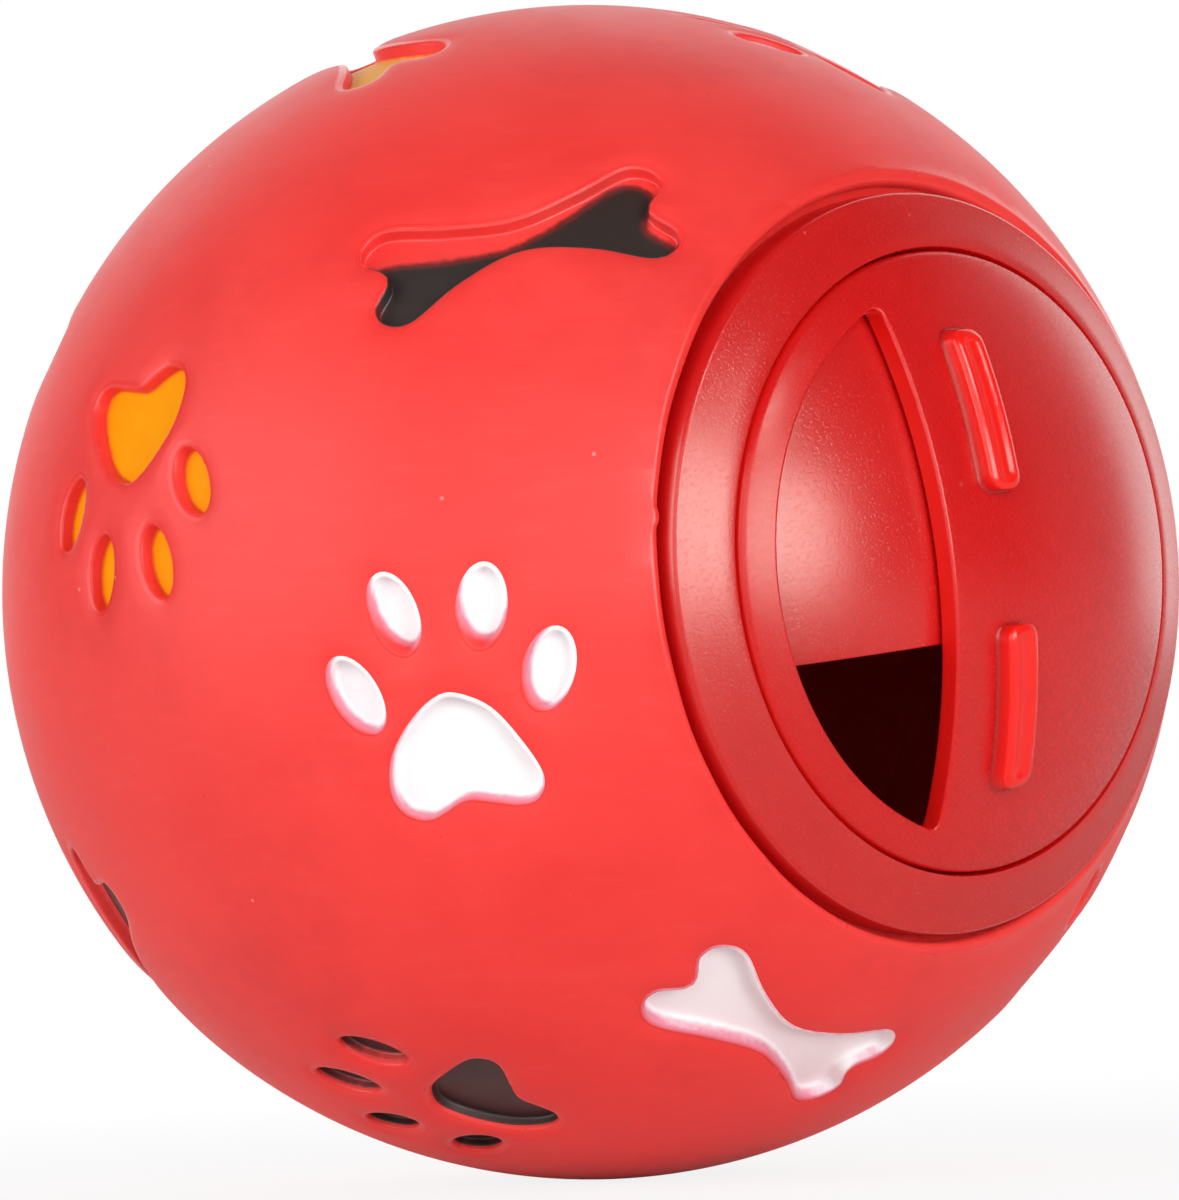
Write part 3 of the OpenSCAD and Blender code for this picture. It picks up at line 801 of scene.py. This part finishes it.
class Finish:
    """A material with its nodes: a Principled shader and helpers that add to it."""

    def __init__(self, name):
        self.material = bpy.data.materials.new(name)
        self.material.use_nodes = True
        self.tree = self.material.node_tree
        self.shader = self.tree.nodes["Principled BSDF"]
        self.place = self.add("ShaderNodeTexCoord").outputs["Object"]

    def add(self, kind, **values):
        """A new node of a kind, with its settings."""
        node = self.tree.nodes.new(kind)
        for key, value in values.items():
            setattr(node, key, value)
        return node

    def join(self, out, into):
        """A link from one socket into another."""
        self.tree.links.new(out, into)

    def mark(self, name):
        """The number that a piece has at each of its points."""
        return self.add("ShaderNodeAttribute", attribute_name=name).outputs["Fac"]

    def stretched(self, scale):
        """The place on the object, scaled differently along x, y and z."""
        node = self.add("ShaderNodeMapping")
        node.inputs["Scale"].default_value = scale
        self.join(self.place, node.inputs["Vector"])
        return node.outputs["Vector"]

    def noise(self, scale, detail, rough, place=None):
        """Clouds of noise, with about scale of them to the metre."""
        node = self.add("ShaderNodeTexNoise")
        node.inputs["Scale"].default_value = scale
        node.inputs["Detail"].default_value = detail
        node.inputs["Roughness"].default_value = rough
        self.join(place or self.place, node.inputs["Vector"])
        return node.outputs["Fac"]

    def cells(self, scale):
        """Scattered spots, about scale of them to the metre: how far away the nearest is."""
        node = self.add("ShaderNodeTexVoronoi")
        node.inputs["Scale"].default_value = scale
        self.join(self.place, node.inputs["Vector"])
        return node.outputs["Distance"]

    def between(self, value, low, high, to_low=0.0, to_high=1.0):
        """A value's way from low to high, as a number from to_low to to_high and not beyond."""
        node = self.add("ShaderNodeMapRange")
        for key, number in (("From Min", low), ("From Max", high), ("To Min", to_low),
                            ("To Max", to_high)):
            node.inputs[key].default_value = number
        self.join(value, node.inputs["Value"])
        return node.outputs["Result"]

    def times_plus(self, value, by, plus):
        """A value times a number, plus another value."""
        node = self.add("ShaderNodeMath", operation="MULTIPLY_ADD")
        self.join(value, node.inputs[0])
        node.inputs[1].default_value = by
        self.join(plus, node.inputs[2])
        return node.outputs["Value"]

    def of_two(self, operation, a, b):
        """Two values made one, by a kind of sum such as MAXIMUM or MULTIPLY."""
        node = self.add("ShaderNodeMath", operation=operation)
        self.join(a, node.inputs[0])
        self.join(b, node.inputs[1])
        return node.outputs["Value"]

    def mixed(self, share, a, b):
        """A share of colour b in colour a."""
        node = self.add("ShaderNodeMix", data_type="RGBA")
        self.join(share, node.inputs["Factor"])
        for value, socket in ((a, node.inputs["A"]), (b, node.inputs["B"])):
            if isinstance(value, tuple):
                socket.default_value = value
            else:
                self.join(value, socket)
        return node.outputs["Result"]

    def bumped(self, value, depth, strength=1.0, under=None):
        """The surface raised by a value, up to a depth in metres, on top of another bump."""
        node = self.add("ShaderNodeBump")
        node.inputs["Distance"].default_value = depth
        node.inputs["Strength"].default_value = strength
        self.join(value, node.inputs["Height"])
        if under:
            self.join(under, node.inputs["Normal"])
        return node.outputs["Normal"]

    def on(self, piece):
        """Gives a piece this finish."""
        piece.data.materials.clear()
        piece.data.materials.append(self.material)


RUBBER_COLOURS = linear(240, 54, 50), linear(248, 62, 57)


def rubber_skin(f):
    """The colour of the rubber: mottling, faint brushed streaks, dull smudges, small dark specks
    and a few grains of pale dust."""
    mottle = f.noise(90, 4, 0.6)
    streak = f.noise(1, 3, 0.6, f.stretched((260, 260, 1400)))
    base = f.mixed(f.between(mottle, 0.35, 0.68), *RUBBER_COLOURS)
    base = f.mixed(f.between(streak, 0.54, 0.78, 0, 0.22), base, linear(255, 88, 82))
    smudge = f.between(f.noise(60, 5, 0.7), 0.54, 0.7, 0, 0.5)
    base = f.mixed(smudge, base, linear(222, 48, 48))
    base = f.mixed(f.between(f.cells(420), 0.035, 0.015, 0, 0.6), base, linear(205, 36, 38))
    base = f.mixed(f.between(f.cells(230), 0.035, 0.015, 0, 0.7), base, linear(255, 158, 148))
    return base, mottle, streak


def rubber_finish():
    """Soft matt rubber with a dusty sheen, smoother where its edges are rubbed."""
    f = Finish("red_rubber")
    s = f.shader.inputs
    base, mottle, streak = rubber_skin(f)
    f.join(base, s["Base Color"])
    matt = f.between(mottle, 0.3, 0.7, 0.42, 0.56)
    f.join(f.times_plus(f.mark("rubbed"), -0.2, matt), s["Roughness"])
    s["Specular IOR Level"].default_value = 0.42
    s["Sheen Weight"].default_value = 0.05
    s["Sheen Roughness"].default_value = 0.4
    uneven = f.bumped(f.noise(300, 4, 0.55), 0.00006, 0.5)
    f.join(f.bumped(streak, 0.00003, 0.4, uneven), s["Normal"])
    return f


# Where the pits of the rim end, in metres along the dial's axis
RIM_PITS_END = -0.0304, -0.0302


def plastic_finish(name, grain, depth, body, shade, rough, gloss):
    """Moulded plastic that lets a little light through, with a painted glow, a brighter red, and a
    smoother polish where it is marked: a spark-worn or a fine ground surface, by the size and
    depth of its pits, with a few specks of dust. Low on the rim it has no pits."""
    f = Finish(name)
    s = f.shader.inputs
    cloud = f.noise(70, 3, 0.5)
    base = f.mixed(f.between(cloud, 0.35, 0.65), body, shade)
    base = f.mixed(f.between(f.cells(330), 0.05, 0.02, 0, 0.5), base, linear(250, 120, 110))
    painted_glow_and_polish = f.mark("painted_glow_and_polish")
    # Painted glow: the marked walls and ribs get a brighter red, as if light came through them
    base = f.mixed(f.between(painted_glow_and_polish, 0, 1, 0, 0.9), base, linear(255, 30, 24))
    f.join(base, s["Base Color"])
    pits = f.between(f.noise(grain, 2, 0.5), 0.5, 0.72, 1.0, 0.0)
    split = f.add("ShaderNodeSeparateXYZ")
    f.join(f.place, split.inputs["Vector"])
    flat = f.of_two("MAXIMUM", pits, f.between(split.outputs["Y"], *RIM_PITS_END))
    matt = f.between(flat, 0, 1, rough + 0.04, rough - 0.02)
    f.join(f.times_plus(painted_glow_and_polish, -0.1, matt), s["Roughness"])
    s["Specular IOR Level"].default_value = gloss
    s["Specular Tint"].default_value = (1.0, 0.97, 0.88, 1.0)
    s["Subsurface Weight"].default_value = 0.45
    s["Subsurface Radius"].default_value = (1.0, 0.16, 0.12)
    s["Subsurface Scale"].default_value = 0.0012
    fine = f.bumped(f.noise(grain * 2.2, 2, 0.5), depth * 0.45)
    f.join(f.bumped(flat, depth, 1.0, fine), s["Normal"])
    return f


def paint_finish(name, body, shade, thin, edges, rough, gloss):
    """Paint brushed on rubber. The cover says where it is full, where it thins out and where the
    rubber is bare: the edges are the covers at which the rubber ends, the paint is thinnest and
    the paint is full. A fine noise roughens those borders."""
    f = Finish(name)
    s = f.shader.inputs
    rubber, _, _ = rubber_skin(f)
    cloud = f.noise(240, 4, 0.6)
    base = f.mixed(f.between(cloud, 0.35, 0.7), body, shade)
    base = f.mixed(f.between(f.cells(900), 0.05, 0.02, 0, 0.5), base, shade)
    cover = f.times_plus(f.noise(1500, 3, 0.6), 0.16, f.mark("cover"))
    bare, thinnest, full = edges
    film = f.mixed(f.between(cover, bare, thinnest), rubber, thin)
    film = f.mixed(f.between(cover, thinnest, full), film, base)
    f.join(film, s["Base Color"])
    f.join(f.between(cloud, 0.3, 0.7, rough - 0.08, rough + 0.08), s["Roughness"])
    s["Specular IOR Level"].default_value = gloss
    f.join(f.bumped(f.noise(700, 4, 0.55), 0.00004, 0.7), s["Normal"])
    return f


RUBBER = rubber_finish()
SPARK = plastic_finish(
    "spark_worn_red_plastic", grain=6000, depth=0.0000052,
    body=linear(210, 19, 20), shade=linear(203, 15, 17), rough=0.255, gloss=0.82)
SMOOTH = plastic_finish(
    "fine_ground_red_plastic", grain=6000, depth=0.000003,
    body=linear(211, 18, 20), shade=linear(205, 14, 17), rough=0.28, gloss=0.57)
PAINTS = {
    "white": paint_finish(
        "white_paint", body=linear(255, 254, 255), shade=linear(252, 249, 251),
        thin=linear(224, 140, 160), edges=(-0.5, -0.15, 0.06), rough=0.5, gloss=0.4),
    "orange": paint_finish(
        "orange_paint", body=linear(255, 164, 0), shade=linear(255, 156, 0),
        thin=linear(244, 112, 30), edges=(-0.16, -0.04, 0.06), rough=0.6, gloss=0.1),
    # The same orange made paler, as a painted sheen and painted light, for the top bone seen
    # edge-on
    "orange_painted_sheen": paint_finish(
        "orange_paint_with_painted_sheen", body=linear(255, 186, 88), shade=linear(255, 178, 78),
        thin=linear(244, 120, 70), edges=(-0.16, -0.04, 0.06), rough=0.6, gloss=0.1),
    "black": paint_finish(
        "black_paint", body=linear(52, 39, 34), shade=linear(38, 29, 26),
        thin=linear(120, 30, 28), edges=(-0.04, 0.08, 0.25), rough=0.4, gloss=0.8),
}

# ---- the pieces on their bodies ----

ball = rubber_ball()
RUBBER.on(ball)
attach(ball, "ball")
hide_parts("ball_shell")

insert = insert_piece()
SPARK.on(insert)
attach(insert, "ball")
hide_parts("insert")

dial = dial_piece()
SMOOTH.on(dial)
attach(dial, "dial")
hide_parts("dial")

for name, (_, colour, _) in MOTIFS.items():
    film = paint_of(name)
    # The top bone takes the orange with its painted sheen
    PAINTS["orange_painted_sheen" if name == "orange_bone_top" else colour].on(film)
    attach(film, "ball")
    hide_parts(name)


# ---- floor, light and camera ----

def white_floor():
    """A white floor, 12 m square. The camera sees it as white, and near the ball a little less
    so, where the shadow shows more."""
    mesh = bpy.data.meshes.new("floor")
    corners = np.array([[-1, -1], [1, -1], [1, 1], [-1, 1]]) * 6.0
    corners = np.column_stack([corners, np.full(4, -BALL_R * 0.001)])
    mesh.from_pydata(corners.tolist(), [], [(0, 1, 2, 3)])
    floor = in_scene("floor", mesh)
    f = Finish("white_floor")
    s = f.shader.inputs
    cloud = f.noise(6, 3, 0.5)
    f.join(f.mixed(cloud, (0.86, 0.86, 0.86, 1), (0.84, 0.84, 0.84, 1)), s["Base Color"])
    s["Roughness"].default_value = 0.9
    reach = f.add("ShaderNodeVectorMath", operation="LENGTH")
    f.join(f.place, reach.inputs[0])
    far = f.between(reach.outputs["Value"], 0.04, 0.14, 0.86, 1.0)
    path = f.add("ShaderNodeLightPath")
    glow = f.add("ShaderNodeEmission")
    blend = f.add("ShaderNodeMixShader")
    f.join(f.of_two("MULTIPLY", path.outputs["Is Camera Ray"], far), blend.inputs["Fac"])
    f.join(f.shader.outputs["BSDF"], blend.inputs[1])
    f.join(glow.outputs["Emission"], blend.inputs[2])
    f.join(blend.outputs["Shader"], f.tree.nodes["Material Output"].inputs["Surface"])
    f.on(floor)


def white_world(strength):
    """A white room that lights at a given strength, and shows as 1 to the camera and to the rays
    that go through a surface."""
    world = bpy.data.worlds.new("white_room")
    world.use_nodes = True
    tree = world.node_tree
    back = tree.nodes["Background"]
    back.inputs["Color"].default_value = (1, 1, 1, 1)
    path = tree.nodes.new("ShaderNodeLightPath")
    seen = tree.nodes.new("ShaderNodeMath")
    seen.operation = "MAXIMUM"
    tree.links.new(path.outputs["Is Camera Ray"], seen.inputs[0])
    tree.links.new(path.outputs["Is Transmission Ray"], seen.inputs[1])
    level = tree.nodes.new("ShaderNodeMapRange")
    level.inputs["To Min"].default_value = strength
    level.inputs["To Max"].default_value = 1.0
    tree.links.new(seen.outputs[0], level.inputs["Value"])
    tree.links.new(level.outputs["Result"], back.inputs["Strength"])
    bpy.context.scene.world = world


def soft_lamp(name, turn, rise, distance, size, power):
    """A square lamp that looks at the ball from a turn and a rise, as a place on the ball is."""
    data = bpy.data.lights.new(name, "AREA")
    data.shape, data.size, data.energy = "SQUARE", size, power
    lamp = in_scene(name, data)
    out = Vector(place_axes((turn, rise, 0))[:, 2])
    lamp.location = out * distance
    lamp.rotation_mode = "QUATERNION"
    lamp.rotation_quaternion = out.to_track_quat("Z", "Y")


def photo_camera(focal, shift, side, distance, back, up):
    """The camera at the photo's viewing angle. The focal length, the shift and the photo's longer
    side are in pixels, and back and up are the ways from the ball to the camera and upwards."""
    data = bpy.data.cameras.new("camera")
    camera = in_scene("camera", data)
    data.lens = data.sensor_width * focal / side
    data.shift_y = shift / side
    data.clip_start, data.clip_end = 0.01, 60
    back = Vector(back).normalized()
    right = Vector(up).cross(back).normalized()
    turn = Matrix((right, back.cross(right), back)).transposed().to_4x4()
    camera.matrix_world = Matrix.Translation(back * distance) @ turn
    return camera


white_floor()
white_world(0.09)
soft_lamp("front_lamp", turn=-9, rise=4, distance=0.9, size=0.45, power=4.9)
soft_lamp("strip_lamp", turn=-9, rise=30, distance=0.9, size=0.16, power=0.9)
soft_lamp("camera_side_lamp", turn=-50, rise=7, distance=0.9, size=0.8, power=3.5)
soft_lamp("left_lamp", turn=-110, rise=9, distance=0.9, size=0.8, power=6.1)
soft_lamp("right_lamp", turn=75, rise=15, distance=0.9, size=0.8, power=0.5)
soft_lamp("backdrop_lamp", turn=132, rise=12, distance=1.4, size=2.6, power=29)
bpy.context.scene.camera = photo_camera(
    focal=5844.6, shift=-7.8, side=1200, distance=0.375,
    back=(-0.69384, -0.71885, -0.04276), up=(0.0, -0.05938, 0.99824))
bpy.context.scene.view_settings.view_transform = "Standard"
